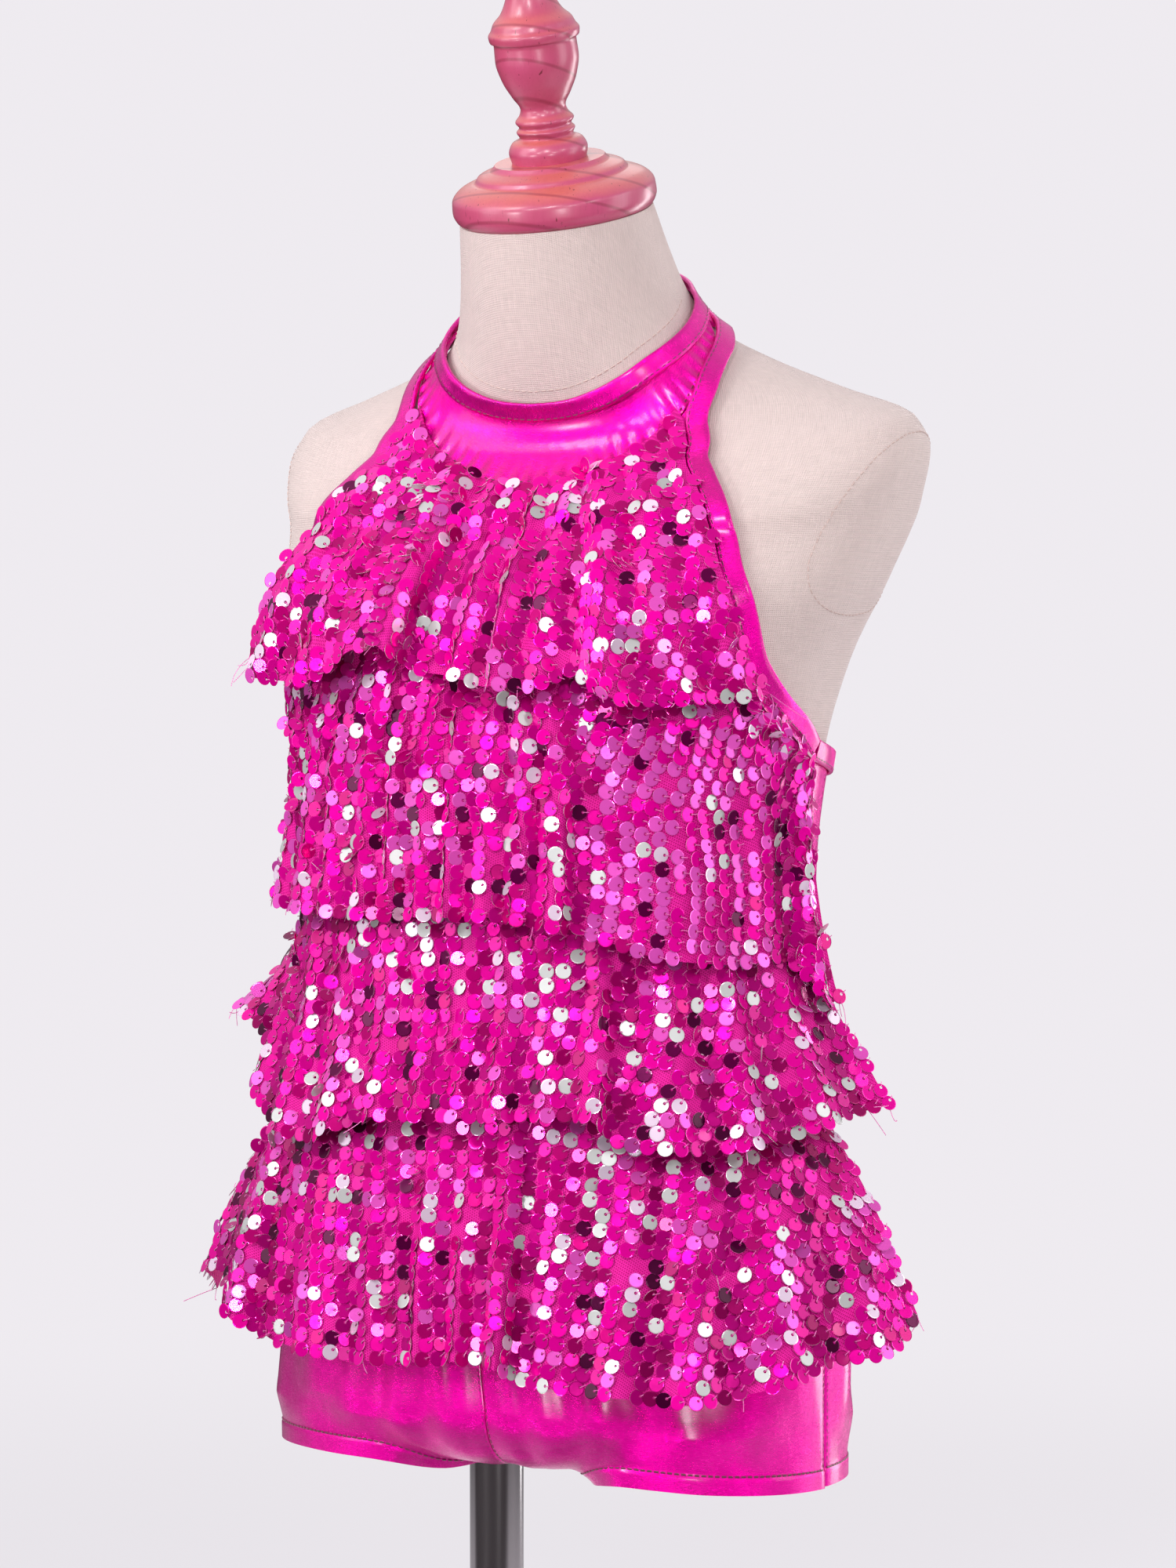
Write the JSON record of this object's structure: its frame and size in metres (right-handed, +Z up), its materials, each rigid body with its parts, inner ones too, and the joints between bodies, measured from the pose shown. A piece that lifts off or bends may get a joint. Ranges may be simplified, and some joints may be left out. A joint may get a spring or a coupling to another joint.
{
  "type": "sequin leotard on a dress form",
  "caption": "Halter-neck stage leotard with short legs and sequined ruffle tiers, resting on a limbless linen dress form with a wooden cap, finial, pole and round base.",
  "frame": {"origin": "middle of the base's underside, under the pole's axis", "axes": "+Z up along the pole, +X towards the form's left side, the front faces -Y"},
  "size_m": [0.3247, 0.27, 0.8638],
  "materials": {
    "linen": "plain linen weave",
    "stained_wood": "red stain under gloss varnish",
    "chrome": "polished",
    "foil_cloth": "foil-printed stretch knit",
    "sequin_net": "tulle sewn all over with sequins",
    "snap_plastic": "moulded"
  },
  "bodies": {
    "root": {"form_torso": "linen", "neck_cap": "stained_wood", "finial": "stained_wood", "base": "chrome", "pole": "chrome", "bodice_front": "foil_cloth", "bodice_back": "foil_cloth", "yoke": "foil_cloth", "neck_binding": "foil_cloth", "armhole_binding_left": "foil_cloth", "armhole_binding_right": "foil_cloth", "back_binding": "foil_cloth", "shorts_front_left": "foil_cloth", "shorts_front_right": "foil_cloth", "shorts_back_left": "foil_cloth", "shorts_back_right": "foil_cloth", "nape_tab": "foil_cloth", "tier_1": "sequin_net", "tier_2": "sequin_net", "tier_3": "sequin_net", "tier_4": "sequin_net", "nape_snap": "snap_plastic"}
  },
  "joints": []
}
